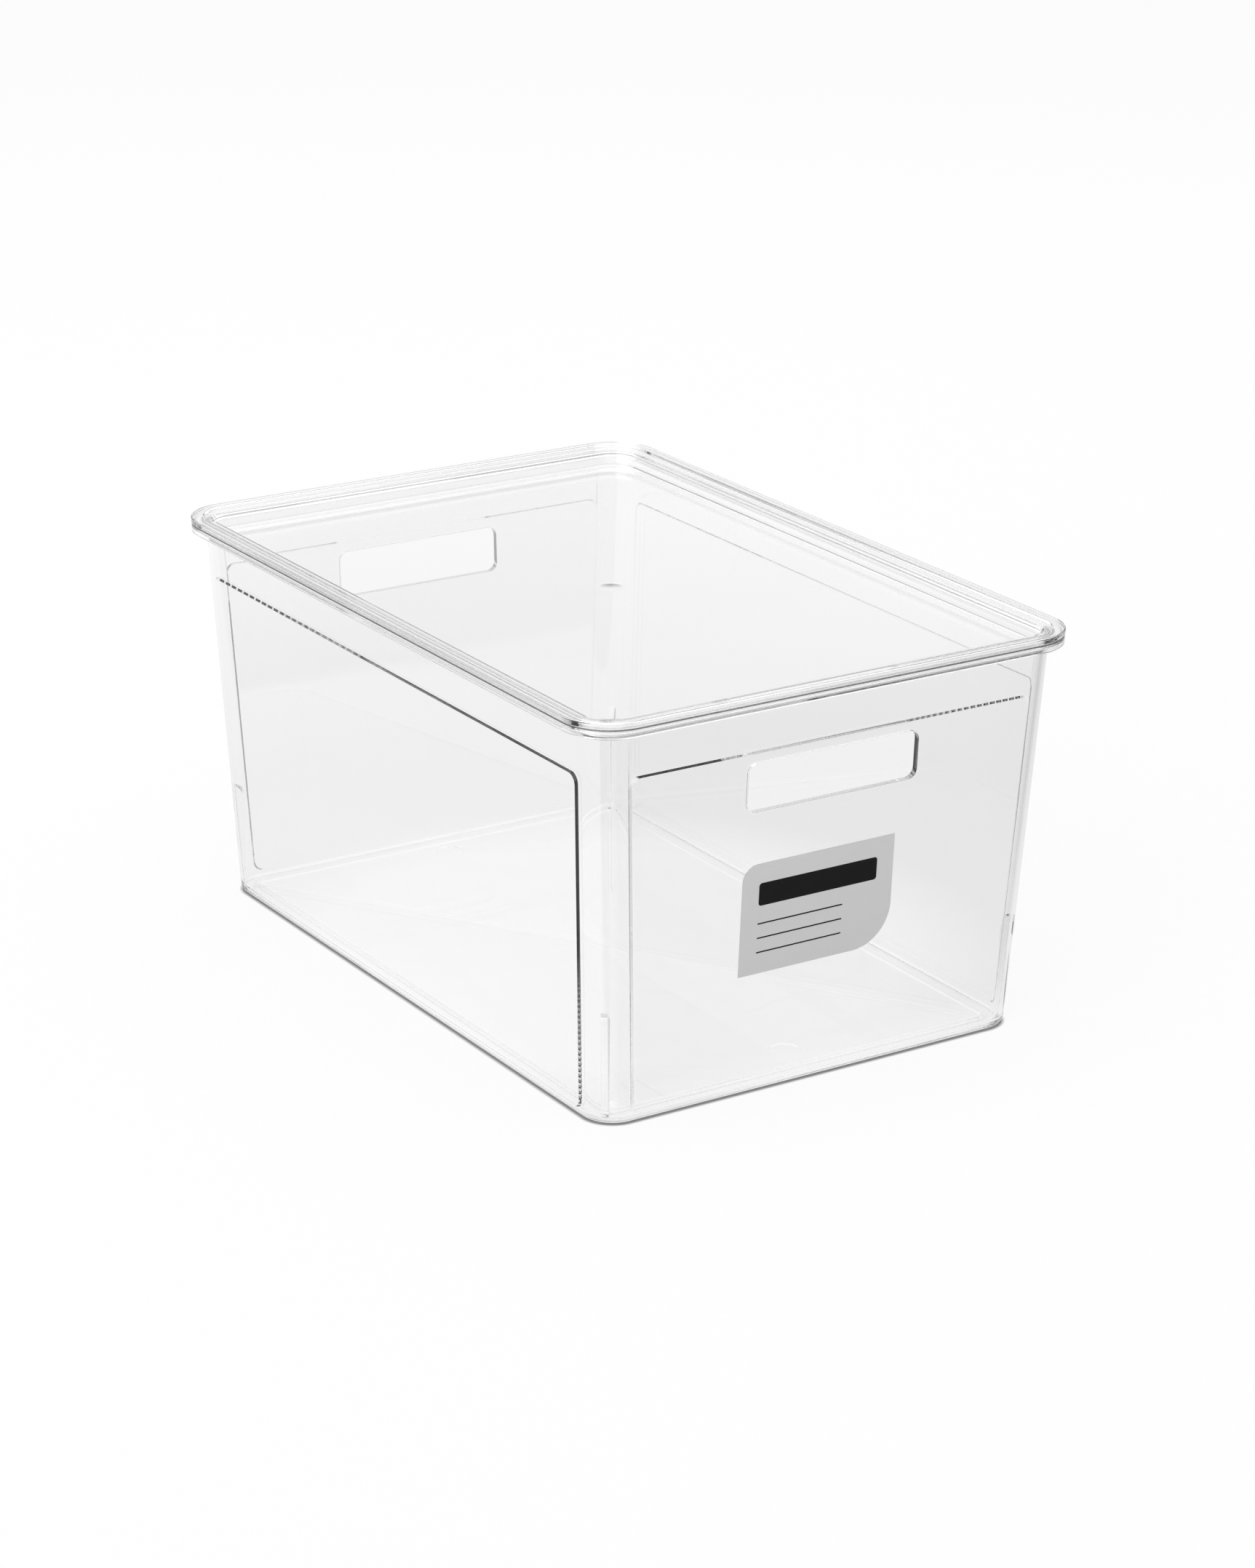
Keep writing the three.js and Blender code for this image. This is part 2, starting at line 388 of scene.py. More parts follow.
@dataclass(frozen=True)
class BoxSizes:
    """Sizes in millimetres that the tub, lid and label share.

    They are those of the part's solids, apart from the panels, which stand 1 mm proud all over here.
    """

    length: float = 385.0
    width: float = 265.0
    height: float = 195.0
    wall: float = 2.2
    draft: float = 0.0516
    wall_corner: float = 16.0
    rim_corner: float = 24.0
    rim_overhang: float = 7.5
    lid_rim_height: float = 2.8
    lid_sheet: float = 1.5
    seat_gap: float = 0.3
    panel_step: float = 1.0
    panel_bottom: float = 4.2
    band_height: float = 26.0

    @property
    def lid_under(self) -> float:
        """Height of the underside of the lid's edge."""
        return self.height - self.lid_rim_height

    @property
    def rim_top(self) -> float:
        """Height of the tub's rim."""
        return self.lid_under - self.seat_gap

    @property
    def band_bottom(self) -> float:
        """Height of the step between the upper band and the panels."""
        return self.rim_top - self.band_height

    @property
    def lean(self) -> float:
        """Angle of the side walls from upright."""
        return math.atan(self.draft)

    def wall_inset(self, z: float) -> float:
        """Finds how far the outer wall lies in from the lid's outline.

        Args:
            z: the height to measure at.

        Returns:
            The inset.
        """
        return self.rim_overhang + self.draft * (self.rim_top - z)

    def inner_inset(self, z: float) -> float:
        """Finds how far the inner wall lies in from the lid's outline.

        Args:
            z: the height to measure at.

        Returns:
            The inset.
        """
        return self.wall_inset(z) + self.wall

    def corner_radius(self, inset: float, z: float) -> float:
        """Corner radius in plan of a ring round the box.

        Args:
            inset: the ring's distance in from the lid's outline.
            z: its height.

        Returns:
            A radius that tightens from the rim to the wall and then runs concentric inside the wall.
        """
        wall = self.wall_inset(z)
        if inset < wall:
            return self.rim_corner + (self.wall_corner - self.rim_corner) * inset / wall
        return max(self.wall_corner - (inset - wall), self.wall)

    def on_wall(self, side: Side, across: float, up: float, out: float) -> Vector:
        """Places a point drawn on the outer face of a side wall.

        Args:
            side: the wall.
            across: distance from the wall's middle.
            up: distance up the slope from the base.
            out: distance out along the wall's normal.

        Returns:
            The point in the box's frame.
        """
        reach = (self.length if side.is_end else self.width) / 2
        drawn = Matrix.Rotation(math.pi / 2 + self.lean, 3, "X") @ Vector((across, up, out))
        foot = Vector((0.0, self.wall_inset(0.0) - reach, 0.0))
        return Matrix.Rotation(side.value, 3, "Z") @ (drawn + foot)

    def up_slope(self, z: float) -> float:
        """Finds the distance up a side wall's slope to a height.

        Args:
            z: the height.

        Returns:
            The distance along the slope.
        """
        return z / math.cos(self.lean)


@dataclass(frozen=True)
class Bend:
    """A corner of a drawn section or outline, with the radius that rounds it."""

    x: float
    y: float
    radius: float = 0.0


def rounded(bends: list[Bend], steps: int) -> list[Vector]:
    """Rounds the inner corners of an open section.

    Args:
        bends: the section's corners in order; the two end ones stay sharp.
        steps: pieces in each rounded corner.

    Returns:
        The points of the rounded section.
    """
    points = [Vector((bends[0].x, bends[0].y))]
    for before, bend, after in zip(bends, bends[1:], bends[2:]):
        corner = Vector((bend.x, bend.y))
        if bend.radius == 0.0:
            points.append(corner)
            continue
        back = (Vector((before.x, before.y)) - corner).normalized()
        ahead = (Vector((after.x, after.y)) - corner).normalized()
        half = back.angle(ahead) / 2
        run = bend.radius / math.tan(half)
        pull = 4 / 3 * math.tan((math.pi / 2 - half) / 2) * bend.radius
        start = corner + back * run
        stop = corner + ahead * run
        points += interpolate_bezier(start, start - back * pull, stop - ahead * pull, stop, steps + 1)
    points.append(Vector((bends[-1].x, bends[-1].y)))
    return [Vector((p[0], p[1])) for p in points]


@dataclass
class Moulding:
    """A closed body made from loops that are bridged one to the next."""

    sizes: BoxSizes
    corner_steps: int = 14
    merge_distance: float = 1e-4
    crease_angle: float = math.radians(40)
    mesh: BMesh = field(default_factory=bmesh.new)

    def loop(self, corners: list[Vector], radii: list[float], steps: int) -> list[BMEdge]:
        """Draws a closed wire and rounds its corners.

        Args:
            corners: the wire's corners in order.
            radii: the radius at each corner, 0 to leave it sharp.
            steps: pieces in each rounded corner.

        Returns:
            The loop's edges.
        """
        known = set(self.mesh.edges)
        verts = [self.mesh.verts.new(corner) for corner in corners]
        for here, ahead in zip(verts, verts[1:] + verts[:1]):
            self.mesh.edges.new((here, ahead))
        for radius in sorted(set(radii) - {0.0}):
            chosen = [vert for vert, own in zip(verts, radii) if own == radius]
            bmesh.ops.bevel(
                self.mesh,
                geom=chosen,
                offset=radius,
                offset_type="OFFSET",
                segments=steps,
                profile=0.5,
                affect="VERTICES",
                material=-1,
                clamp_overlap=False,
            )
        return [edge for edge in self.mesh.edges if edge not in known]

    def ring(self, inset: float, z: float) -> list[BMEdge]:
        """Draws one rounded ring round the box.

        Args:
            inset: distance in from the lid's outline.
            z: height.

        Returns:
            The ring's edges.
        """
        half_x = self.sizes.width / 2 - inset
        half_y = self.sizes.length / 2 - inset
        turns = ((1, 1), (-1, 1), (-1, -1), (1, -1))
        corners = [Vector((half_x * x, half_y * y, z)) for x, y in turns]
        radius = self.sizes.corner_radius(inset, z)
        return self.loop(corners, [radius] * 4, self.corner_steps)

    def disc(self, centre: Vector, radius: float, steps: int = 40) -> list[BMEdge]:
        """Draws a level circle.

        Args:
            centre: the circle's middle.
            radius: its radius.
            steps: its number of sides.

        Returns:
            The circle's edges.
        """
        made = bmesh.ops.create_circle(
            self.mesh, segments=steps, radius=radius, matrix=Matrix.Translation(centre)
        )
        return list({edge for vert in made["verts"] for edge in vert.link_edges})

    def bridge(self, loops: list[list[BMEdge]]) -> list[list[BMFace]]:
        """Joins each loop to the next with a band of faces.

        Args:
            loops: the loops in order.

        Returns:
            The faces of each band.
        """
        return [
            bmesh.ops.bridge_loops(self.mesh, edges=low + high)["faces"]
            for low, high in zip(loops, loops[1:])
        ]

    def fill(self, *loops: list[BMEdge]) -> list[BMFace]:
        """Fills the flat area inside the first loop and outside the others.

        Args:
            loops: the outer loop, then any holes in it.

        Returns:
            The new faces.
        """
        edges = [edge for loop in loops for edge in loop]
        made = bmesh.ops.triangle_fill(self.mesh, use_beauty=True, use_dissolve=False, edges=edges)
        return [item for item in made["geom"] if isinstance(item, BMFace)]

    def open_face(self, faces: list[BMFace], direction: Vector) -> list[BMEdge]:
        """Takes out the face of a band that lies furthest in a direction.

        Args:
            faces: the band.
            direction: the way to look.

        Returns:
            The edges left round the gap.
        """
        face = max(faces, key=lambda item: item.calc_center_median().dot(direction))
        edges = list(face.edges)
        bmesh.ops.delete(self.mesh, geom=[face], context="FACES_ONLY")
        faces.remove(face)
        return edges

    def dimple(self, centre: Vector, radius: float, depth: float, edge: float) -> list[BMEdge]:
        """Sinks a shallow dish and leaves its mouth open for the surface round it.

        Args:
            centre: the middle of the dish's mouth.
            radius: the mouth's radius.
            depth: the dish's depth.
            edge: share of the radius over which the dish falls to its depth.

        Returns:
            The edges of the mouth.
        """
        loops = []
        for share in (1.0, 0.85, 0.7, 0.55, 0.4, 0.25, 0.1):
            sunk = depth * (1 + math.cos(math.pi * share)) / 2
            loops.append(self.disc(centre - Vector((0.0, 0.0, sunk)), radius * (1 - edge * (1 - share))))
        self.bridge(loops)
        self.fill(loops[-1])
        return loops[0]

    def finish(self, name: str, materials: list[bpy.types.Material]) -> bpy.types.Object:
        """Turns the body into a smooth object in metres at the origin.

        Args:
            name: the object's name.
            materials: its materials, in slot order.

        Returns:
            The object, linked to the scene.
        """
        bmesh.ops.remove_doubles(self.mesh, verts=self.mesh.verts, dist=self.merge_distance)
        bmesh.ops.recalc_face_normals(self.mesh, faces=self.mesh.faces)
        bmesh.ops.scale(self.mesh, vec=(MM, MM, MM), verts=self.mesh.verts)
        for face in self.mesh.faces:
            face.smooth = True
        for edge in self.mesh.edges:
            edge.smooth = edge.calc_face_angle(0.0) < self.crease_angle
        data = bpy.data.meshes.new(name)
        self.mesh.to_mesh(data)
        self.mesh.free()
        piece = bpy.data.objects.new(name, data)
        for material in materials:
            data.materials.append(material)
        bpy.context.scene.collection.objects.link(piece)
        flats = piece.modifiers.new("flat faces stay flat", "WEIGHTED_NORMAL")
        flats.keep_sharp = True
        flats.weight = 100
        return piece


@dataclass
class Tub:
    """The tapered tub: raised side panels, hand slots, flanged rim, corner ribs and a stepped floor."""

    sizes: BoxSizes
    finish: ClearPlastic
    bend_steps: int = 4
    flange: float = 1.8
    flange_fillet: float = 3.0
    lip: float = 1.8
    lip_drop: float = 4.1
    rim_inset: float = 0.3
    floor: float = 2.4
    foot_width: float = 9.5
    foot_rise: float = 0.9
    base_round: float = 3.2
    floor_fillet: float = 3.0
    panel_margin: float = 16.7
    panel_corner: float = 5.0
    panel_corner_steps: int = 6
    panel_edge_round: float = 0.1
    slot_width: float = 91.2
    slot_height: float = 23.0
    slot_corner: float = 4.5
    slot_corner_steps: int = 8
    slot_below_band: float = 5.0
    top_slope: float = 0.78
    side_slope: float = 1.18
    edge_round: float = 0.3
    rib_top: float = 54.3
    rib_width: float = 3.3
    rib_reach: float = 5.0
    dimple_radius: float = 8.0
    dimple_depth: float = 0.25
    dimple_edge: float = 0.12
    dimple_from_end: float = 43.5

    def section(self) -> list[Vector]:
        """Draws the wall's section from the underside, over the rim, to the floor.

        Returns:
            Points of inset and height.
        """
        box = self.sizes
        under = box.rim_top - self.flange
        lip_bottom = box.rim_top - self.lip_drop
        foot = box.wall_inset(0.0) + self.foot_width
        rise = self.foot_rise
        bends = [
            Bend(foot + 3 * rise, rise),
            Bend(foot + rise, rise, 0.5),
            Bend(foot, 0.0, 0.5),
            Bend(box.wall_inset(0.0), 0.0, self.base_round),
            Bend(box.wall_inset(under), under, self.flange_fillet),
            Bend(self.rim_inset + self.lip, under, 0.5),
            Bend(self.rim_inset + self.lip, lip_bottom, 0.4),
            Bend(self.rim_inset, lip_bottom, 0.5),
            Bend(self.rim_inset, box.rim_top, 0.6),
            Bend(box.inner_inset(box.rim_top), box.rim_top, 0.7),
        ]
        for share in (0.0, 0.12, 0.3, 0.6, 1.0):
            z = self.rib_top - share * self.rib_reach
            bends.append(Bend(box.inner_inset(z), z))
        bends += [
            Bend(box.inner_inset(self.floor), self.floor, self.floor_fillet),
            Bend(foot + rise, self.floor, 0.6),
            Bend(foot + 2 * rise, self.floor + rise, 0.6),
            Bend(foot + 4 * rise, self.floor + rise),
        ]
        return rounded(bends, self.bend_steps)

    def panel_loop(self, body: Moulding, side: Side, grow: float, share: float) -> list[BMEdge]:
        """Draws the outline of a raised panel on a side wall.

        Args:
            body: the moulding that takes the loop.
            side: the wall.
            grow: place on the panel's sloping edge, from 0 at its top to 1 at its foot.
            share: height off the wall as a share of the panel's own.

        Returns:
            The loop's edges.
        """
        box = self.sizes
        reach = (box.width if side.is_end else box.length) / 2 - self.panel_margin
        low = box.up_slope(box.panel_bottom)
        high = box.up_slope(box.band_bottom) + grow * self.top_slope
        wide = reach - box.wall_inset(box.band_bottom) + grow * self.side_slope
        narrow = reach - box.wall_inset(box.panel_bottom) + grow * self.side_slope
        drawn = ((wide, high), (-wide, high), (-narrow, low), (narrow, low))
        corners = [box.on_wall(side, x, y, share * box.panel_step) for x, y in drawn]
        return body.loop(corners, [self.panel_corner] * 4, self.panel_corner_steps)

    def slot_loop(self, body: Moulding, side: Side, grow: float, out: float) -> list[BMEdge]:
        """Draws the outline of a hand slot on an end wall.

        Args:
            body: the moulding that takes the loop.
            side: the end wall.
            grow: how far outside the slot's nominal outline the loop runs.
            out: its height off the wall.

        Returns:
            The loop's edges.
        """
        box = self.sizes
        top = box.band_bottom - self.slot_below_band
        half = self.slot_width / 2 + grow
        high = box.up_slope(top) + grow
        low = box.up_slope(top - self.slot_height) - grow
        drawn = ((half, high), (-half, high), (-half, low), (half, low))
        corners = [box.on_wall(side, x, y, out) for x, y in drawn]
        return body.loop(corners, [self.slot_corner + grow] * 4, self.slot_corner_steps)

    def build_panel(self, body: Moulding, side: Side, outer: list[BMFace], inner: list[BMFace]) -> None:
        """Raises the panel on one wall, and cuts the hand slot where the wall is an end.

        Args:
            body: the tub's moulding.
            side: the wall.
            outer: the band of outer wall faces.
            inner: the band of inner wall faces.
        """
        step = self.sizes.panel_step
        soft = self.edge_round
        fine = self.panel_edge_round
        edge = [Bend(1.6, 0.0), Bend(1.0, 0.0, fine), Bend(0.0, 1.0, fine), Bend(-0.6, 1.0)]
        loops = [self.panel_loop(body, side, p.x, p.y) for p in rounded(edge, self.bend_steps)[1:-1]]
        body.bridge(loops)
        body.fill(body.open_face(outer, side.outward), loops[0])
        if not side.is_end:
            body.fill(loops[-1])
            return
        inside = -self.sizes.wall * math.cos(self.sizes.lean)
        through = [Bend(1.0, step), Bend(0.0, step, soft), Bend(0.0, inside, soft), Bend(1.0, inside)]
        slots = [self.slot_loop(body, side, p.x, p.y) for p in rounded(through, self.bend_steps)[1:-1]]
        body.bridge(slots)
        body.fill(loops[-1], slots[0])
        body.fill(body.open_face(inner, side.outward), slots[-1])

    def build_ribs(self, body: Moulding, faces: list[BMFace]) -> None:
        """Draws a rib out of each inner corner: upright, rounded at the top, fading into the floor.

        Args:
            body: the tub's moulding.
            faces: the inner wall faces below the ribs' tops.
        """
        box = self.sizes
        face_at_top = box.wall_corner - box.wall - math.sqrt(2) * box.wall_inset(self.rib_top)
        for turn_x, turn_y in ((1, 1), (-1, 1), (-1, -1), (1, -1)):
            middle = Vector(
                (
                    turn_x * (box.width / 2 - box.wall_corner),
                    turn_y * (box.length / 2 - box.wall_corner),
                    0.0,
                )
            )
            diagonal = Vector((turn_x, turn_y, 0.0)).normalized()
            across = Vector((-diagonal.y, diagonal.x, 0.0))
            column = []
            for face in faces:
                place = face.calc_center_median() - middle
                near = abs(place.dot(across)) < self.rib_width / 2
                if near and abs(place.dot(diagonal)) < 3 * box.wall_corner:
                    column.append(face)
            made = bmesh.ops.extrude_face_region(body.mesh, geom=column)["geom"]
            bmesh.ops.delete(body.mesh, geom=column, context="FACES")
            faces = [face for face in faces if face.is_valid]
            for vert in (item for item in made if isinstance(item, bmesh.types.BMVert)):
                drop = max(vert.co.z - (self.rib_top - self.rib_reach), 0.0) / self.rib_reach
                target = face_at_top - self.rib_reach * math.sqrt(max(1.0 - drop * drop, 0.0))
                own = (vert.co - middle).dot(diagonal)
                vert.co += diagonal * (min(own, target) - own)

    def build(self) -> bpy.types.Object:
        """Builds the tub.

        Returns:
            The tub's object.
        """
        body = Moulding(self.sizes)
        section = self.section()
        rings = [body.ring(point.x, point.y) for point in section]
        bands = body.bridge(rings)
        rises = [ahead.y - here.y for here, ahead in zip(section, section[1:])]
        outer = rises.index(max(rises))
        inner = rises.index(min(rises))
        for side in Side:
            self.build_panel(body, side, bands[outer], bands[inner])
        self.build_ribs(body, [face for band in bands[inner + 1 :] for face in band])
        dish_y = self.sizes.length / 2 - self.dimple_from_end
        top = self.floor + self.foot_rise
        dishes = [
            body.dimple(Vector((0.0, y, top)), self.dimple_radius, self.dimple_depth, self.dimple_edge)
            for y in (-dish_y, dish_y)
        ]
        body.fill(rings[0])
        body.fill(rings[-1], *dishes)
        tub = body.finish("tub_moulding", [self.finish.material()])
        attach(tub, "tub_body")
        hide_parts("tub")
        return tub


@dataclass
class Lid:
    """The drop-in lid: raised rim, narrow shelf, plug wall and a sunken panel for the foot of another box."""

    sizes: BoxSizes
    finish: ClearPlastic
    bend_steps: int = 6
    wall: float = 1.4
    recess: float = 9.4
    rim_width: float = 6.8
    plug_gap: float = 0.4
    dimple_radius: float = 8.0
    dimple_depth: float = 0.25
    dimple_edge: float = 1.0

    def section(self) -> list[Vector]:
        """Draws the lid's section from its underside, round the edge, to the sunken panel.

        Returns:
            Points of inset and height.
        """
        box = self.sizes
        top = box.height - self.recess
        under = top - box.lid_sheet
        shelf = box.lid_under + box.lid_sheet

        def plug(z: float) -> float:
            """Finds the inset of the plug wall's outer face at height z."""
            return box.inner_inset(z) + self.plug_gap

        def hollow(z: float) -> float:
            """Finds the inset of the plug wall's inner face at height z."""
            return plug(z) + self.wall

        bends = [
            Bend(plug(under) + 6.0, under),
            Bend(plug(under), under, 1.0),
            Bend(plug(box.lid_under), box.lid_under, 0.5),
            Bend(0.0, box.lid_under, 0.6),
            Bend(0.0, box.height, 0.8),
            Bend(self.rim_width - 0.7, box.height, 0.5),
            Bend(self.rim_width, shelf, 0.4),
            Bend(hollow(shelf), shelf, 1.2),
            Bend(hollow(top), top, 1.2),
            Bend(hollow(top) + 6.0, top),
        ]
        return rounded(bends, self.bend_steps)

    def build(self) -> bpy.types.Object:
        """Builds the lid.

        Returns:
            The lid's object.
        """
        body = Moulding(self.sizes)
        rings = [body.ring(point.x, point.y) for point in self.section()]
        body.bridge(rings)
        body.fill(rings[0])
        top = Vector((0.0, 0.0, self.sizes.height - self.recess))
        body.fill(rings[-1], body.dimple(top, self.dimple_radius, self.dimple_depth, self.dimple_edge))
        lid = body.finish("lid_moulding", [self.finish.material()])
        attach(lid, "lid_body")
        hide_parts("lid")
        return lid


@dataclass
class Label:
    """The contents label on the front panel: grey film with a dark heading bar and ruled writing lines."""

    sizes: BoxSizes
    film: PrintedFilm
    ink: PrintedFilm
    left: float = -46.5
    bottom: float = 59.5
    width: float = 82.0
    height: float = 53.5
    small_corner: float = 8.0
    large_corner: float = 20.0
    corner_steps: int = 12
    gap: float = 0.1
    thickness: float = 0.3
    bar: tuple[float, float, float, float] = (9.0, 33.0, 64.0, 11.0)
    bar_corner: float = 1.5
    widest_corner: float = 0.45
    bar_corner_steps: int = 4
    line_left: float = 9.0
    line_length: float = 46.0
    line_width: float = 0.7
    line_heights: tuple[float, ...] = (24.0, 17.0, 10.0)

    def on_panel(self, across: float, up: float, out: float) -> Vector:
        """Places a point of the label on the front panel.

        Args:
            across: distance from the wall's middle.
            up: distance up the slope from the base.
            out: distance off the panel's face.

        Returns:
            The point in the box's frame.
        """
        return self.sizes.on_wall(Side.FRONT, across, up, self.sizes.panel_step + out)

    def outline(self, body: Moulding, out: float) -> list[BMEdge]:
        """Draws the label's edge: one small and one large rounded corner, the other two square.

        Args:
            body: the moulding that takes the loop.
            out: distance off the panel.

        Returns:
            The loop's edges.
        """
        low = self.sizes.up_slope(self.bottom)
        right = self.left + self.width
        high = low + self.height
        drawn = ((self.left, low), (right, low), (right, high), (self.left, high))
        corners = [self.on_panel(x, y, out) for x, y in drawn]
        return body.loop(corners, [0.0, self.large_corner, 0.0, self.small_corner], self.corner_steps)

    def mark(self, body: Moulding, place: tuple[float, float, float, float], out: float) -> list[BMEdge]:
        """Draws a rectangle of print on the label's face.

        Args:
            body: the moulding that takes the loop.
            place: the rectangle's left, bottom, width and height, from the label's lower left corner.
            out: distance off the panel.

        Returns:
            The loop's edges.
        """
        left = self.left + place[0]
        low = self.sizes.up_slope(self.bottom) + place[1]
        right = left + place[2]
        high = low + place[3]
        drawn = ((left, low), (right, low), (right, high), (left, high))
        corners = [self.on_panel(x, y, out) for x, y in drawn]
        radius = min(self.bar_corner, place[3] * self.widest_corner)
        return body.loop(corners, [radius] * 4, self.bar_corner_steps)

    def build(self) -> bpy.types.Object:
        """Builds the label.

        Returns:
            The label's object.
        """
        body = Moulding(self.sizes)
        face = self.gap + self.thickness
        loops = [self.outline(body, self.gap), self.outline(body, face)]
        body.bridge(loops)
        body.fill(loops[0])
        places = [self.bar]
        places += [(self.line_left, y, self.line_length, self.line_width) for y in self.line_heights]
        marks = [self.mark(body, place, face) for place in places]
        body.fill(loops[1], *marks)
        for mark in marks:
            for printed in body.fill(mark):
                printed.material_index = 1
        label = body.finish("front_label", [self.film.material(), self.ink.material()])
        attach(label, "tub_body")
        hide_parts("label")
        return label


@dataclass(frozen=True)
class Lamp:
    """A soft rectangular studio lamp, aimed at the box."""

    name: str
    place: tuple[float, float, float]
    size: float
    power: float
    aim_height: float = 0.1

    def build(self) -> bpy.types.Object:
        """Hangs the lamp.

        Returns:
            The lamp's object.
        """
        data = bpy.data.lights.new(self.name, "AREA")
        data.shape = "SQUARE"
        data.size = self.size
        data.energy = self.power
        lamp = bpy.data.objects.new(self.name, data)
        lamp.location = self.place
        aim = Vector((0.0, 0.0, self.aim_height)) - Vector(self.place)
        lamp.rotation_euler = aim.to_track_quat("-Z", "Y").to_euler()
        bpy.context.scene.collection.objects.link(lamp)
        return lamp


@dataclass
class Studio:
    """The pale floor, soft light and camera."""

    floor_size: float = 12.0
    floor_colour: str = "#F4F4F4"
    floor_drop: float = 0.0002
    floor_glow: float = 0.9
    room_light: float = 0.55
    room_fade: Fade = Fade(0.0, 0.35, 1.0, 0.87)
    # Painted shadow ring round the box in the floor's glow, seen only through or off the plastic; it
    # brightens again further out.
    near_dim: Fade = Fade(0.14, 0.2, 1.0, 0.89)
    far_dim: Fade = Fade(0.33, 0.75, 0.0, 0.1)
    dark_side: tuple[float, float, float] = (0.84, -0.54, 0.0)
    dark_floor: Fade = Fade(0.2, 0.55, 1.0, 0.75)
    dark_room: Fade = Fade(0.3, 0.95, 1.0, 0.75)
    front_side: tuple[float, float, float] = (0.46, -0.888, 0.0)
    front_start: float = 0.1
    front_edge: float = 0.178
    front_shade: Fade = Fade(0.0, 0.03, 1.0, 0.25)
    foot_half: tuple[float, float] = (0.1153, 0.1753)
    foot_corner: float = 0.016
    # Painted shadow: a fine dark line round the foot of the box, seen by the camera on the floor.
    painted_contact_shadow: Fade = Fade(-0.001, 0.001, 0.2, 1.0)
    lamps: tuple[Lamp, ...] = (
        Lamp("top_softbox", (0.2, 0.3, 1.9), 2.8, 26.0),
        Lamp("left_softbox", (-1.9, -0.4, 1.1), 2.3, 20.0),
    )
    light_bounces: int = 64
    target: tuple[float, float, float] = (0.0, 0.0, 0.097)
    distance: float = 2.0234
    azimuth: float = -32.63
    elevation: float = 19.738
    roll: float = 0.449
    lens: float = 96.83
    sensor: float = 36.0
    shift: tuple[float, float] = (0.01143, -0.01328)

    def shiny_rays(self, tree: bpy.types.NodeTree) -> bpy.types.NodeSocket:
        """Finds the rays that come by way of a clear or shiny surface.

        Args:
            tree: the node tree that takes the nodes.

        Returns:
            A socket that is 1 for those rays and 0 for the rest.
        """
        path = add_node(tree, "ShaderNodeLightPath").outputs
        return maths(tree, "MAXIMUM", path["Is Glossy Ray"], path["Is Transmission Ray"])

    def floor_material(self) -> bpy.types.Material:
        """Builds the matt white floor.

        The camera sees it near white, with a fine painted shadow line round the foot of the box. Rays that
        have passed through or off the plastic see it dimmer, with a painted shadow ring round the box, and
        painted darker at the right and in front.

        Returns:
            The floor's material.
        """
        material = new_material("matt white sweep")
        tree = material.node_tree
        paint = add_node(
            tree, "ShaderNodeBsdfDiffuse", {"Color": linear(self.floor_colour), "Roughness": 1.0}
        )
        place = add_node(tree, "ShaderNodeTexCoord").outputs["Object"]
        away = add_node(tree, "ShaderNodeVectorMath", {"operation": "LENGTH"}, {0: place}).outputs["Value"]
        # Painted shade in the floor's glow for rays through or off the plastic: a shadow ring round the box,
        # and darker at the right and in front.
        dim = maths(tree, "ADD", self.near_dim.level(tree, away), self.far_dim.level(tree, away))
        dark = self.dark_floor.level(tree, along(tree, place, self.dark_side))
        beyond = maths(tree, "SUBTRACT", along(tree, place, self.front_side), self.front_start)
        before = maths(tree, "SUBTRACT", along(tree, place, (0.0, -1.0, 0.0)), self.front_edge)
        front = self.front_shade.level(tree, maths(tree, "MINIMUM", beyond, before))
        seen_through = maths(tree, "MULTIPLY", maths(tree, "MULTIPLY", dim, dark), front)
        # Painted shadow for camera rays: the floor is painted dark just round the outline of the box's foot.
        painted_contact_shadow = self.painted_contact_shadow.level(tree, outline_gap(tree, place, self.foot_half, self.foot_corner))
        straight = add_node(tree, "ShaderNodeLightPath").outputs["Is Camera Ray"]
        level = add_node(tree, "ShaderNodeMix", None, {0: straight, 2: seen_through, 3: painted_contact_shadow})
        glow = add_node(
            tree,
            "ShaderNodeEmission",
            {"Color": (1.0, 1.0, 1.0, 1.0)},
            {"Strength": level.outputs[0]},
        )
        seen = maths(tree, "MAXIMUM", straight, self.shiny_rays(tree))
        share = maths(tree, "MULTIPLY_ADD", straight, self.floor_glow - 1.0, seen)
        mixed = add_node(
            tree,
            "ShaderNodeMixShader",
            None,
            {0: share, 1: paint.outputs["BSDF"], 2: glow.outputs["Emission"]},
        )
        add_node(tree, "ShaderNodeOutputMaterial", None, {"Surface": mixed.outputs["Shader"]})
        return material

    def build_floor(self) -> bpy.types.Object:
        """Lays the floor.

        Returns:
            The floor's object.
        """
        mesh = bmesh.new()
        bmesh.ops.create_grid(mesh, x_segments=1, y_segments=1, size=self.floor_size / 2)
        bmesh.ops.translate(mesh, vec=(0.0, 0.0, -self.floor_drop), verts=mesh.verts)
        data = bpy.data.meshes.new("floor")
        mesh.to_mesh(data)
        mesh.free()
        data.materials.append(self.floor_material())
        floor = bpy.data.objects.new("floor", data)
        bpy.context.scene.collection.objects.link(floor)
        return floor

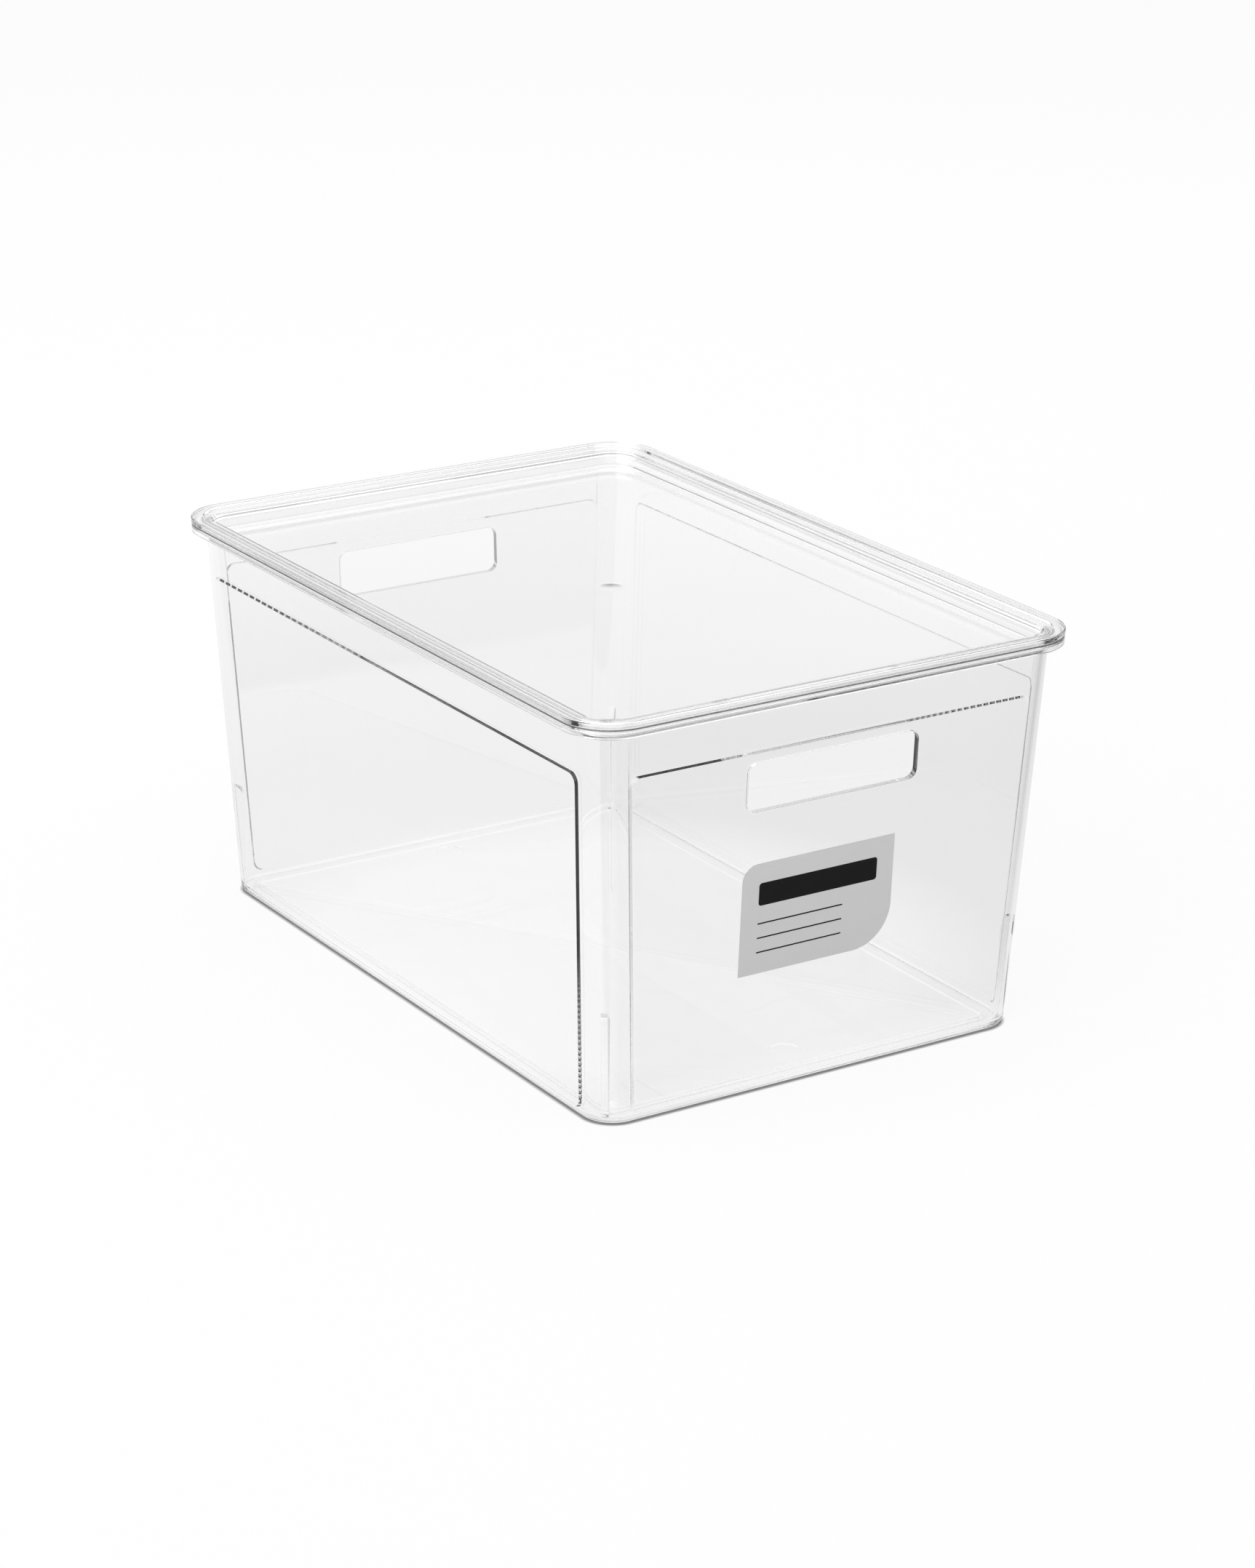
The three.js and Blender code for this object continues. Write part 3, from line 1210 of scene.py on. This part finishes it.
    def build_world(self) -> None:
        """Sets the room: white to the camera; in the plastic, dimmer overhead and darker at the right."""
        world = bpy.data.worlds.new("studio")
        world.use_nodes = True
        bpy.context.scene.world = world
        tree = world.node_tree
        tree.nodes.clear()
        straight = add_node(tree, "ShaderNodeLightPath").outputs["Is Camera Ray"]
        way = add_node(tree, "ShaderNodeTexCoord").outputs["Generated"]
        fade = self.room_fade.level(tree, along(tree, way, (0.0, 0.0, 1.0)))
        dark = self.dark_room.level(tree, along(tree, way, self.dark_side))
        room = maths(tree, "MULTIPLY", fade, dark)
        reflected = add_node(
            tree, "ShaderNodeMix", {2: self.room_light}, {0: self.shiny_rays(tree), 3: room}
        )
        strength = add_node(tree, "ShaderNodeMix", {3: 1.0}, {0: straight, 2: reflected.outputs[0]})
        light = add_node(
            tree,
            "ShaderNodeBackground",
            {"Color": (1.0, 1.0, 1.0, 1.0)},
            {"Strength": strength.outputs[0]},
        )
        add_node(tree, "ShaderNodeOutputWorld", None, {"Surface": light.outputs["Background"]})

    def build_camera(self) -> bpy.types.Object:
        """Sets the camera at the photograph's angle.

        Returns:
            The camera's object.
        """
        azimuth = math.radians(self.azimuth)
        elevation = math.radians(self.elevation)
        back = Vector(
            (
                math.sin(azimuth) * math.cos(elevation),
                -math.cos(azimuth) * math.cos(elevation),
                math.sin(elevation),
            )
        )
        data = bpy.data.cameras.new("camera")
        data.lens = self.lens
        data.sensor_width = self.sensor
        data.shift_x, data.shift_y = self.shift
        camera = bpy.data.objects.new("camera", data)
        camera.location = Vector(self.target) + back * self.distance
        turn = back.to_track_quat("Z", "Y").to_matrix()
        camera.rotation_euler = (turn @ Matrix.Rotation(math.radians(self.roll), 3, "Z")).to_euler()
        bpy.context.scene.collection.objects.link(camera)
        bpy.context.scene.camera = camera
        return camera

    def build(self) -> None:
        """Builds the whole studio."""
        self.build_floor()
        self.build_world()
        for lamp in self.lamps:
            lamp.build()
        self.build_camera()
        scene = bpy.context.scene
        scene.view_settings.view_transform = "Standard"
        scene.cycles.max_bounces = self.light_bounces
        scene.cycles.glossy_bounces = self.light_bounces
        scene.cycles.transmission_bounces = self.light_bounces


def main() -> None:
    """Builds the box and its studio, and logs each piece's number of faces."""
    logging.basicConfig(level=logging.INFO, format="%(name)s: %(message)s")
    sizes = BoxSizes()
    # Painted shade: a dark line painted along the tub's seat edge, under the lid's edge, where the gap's
    # shadow falls.
    painted_seat_shade = PaintedGapShade(
        tint="#484848", half_mm=(132.2, 192.2), corner_mm=23.7, height_mm=191.3, width_mm=0.7
    )
    parts = (
        Tub(sizes, ClearPlastic("clear moulded polystyrene, tub", "#FEFEFE", painted_gap_shade=painted_seat_shade)),
        Lid(sizes, ClearPlastic("clear moulded polystyrene, lid", "#FFFFFF", absorption_per_m=1.5)),
        Label(
            sizes,
            PrintedFilm("grey printed vinyl film", "#DFDFDF", "#D8D8D8"),
            PrintedFilm("dark printing ink", "#141415", "#1A1A1B", roughness=0.5, shine=0.25),
        ),
    )
    for part in parts:
        piece = part.build()
        log.info("%s: %d faces", piece.name, len(piece.data.polygons))
    Studio().build()
    bpy.context.view_layer.update()


if __name__ == "__main__":
    main()
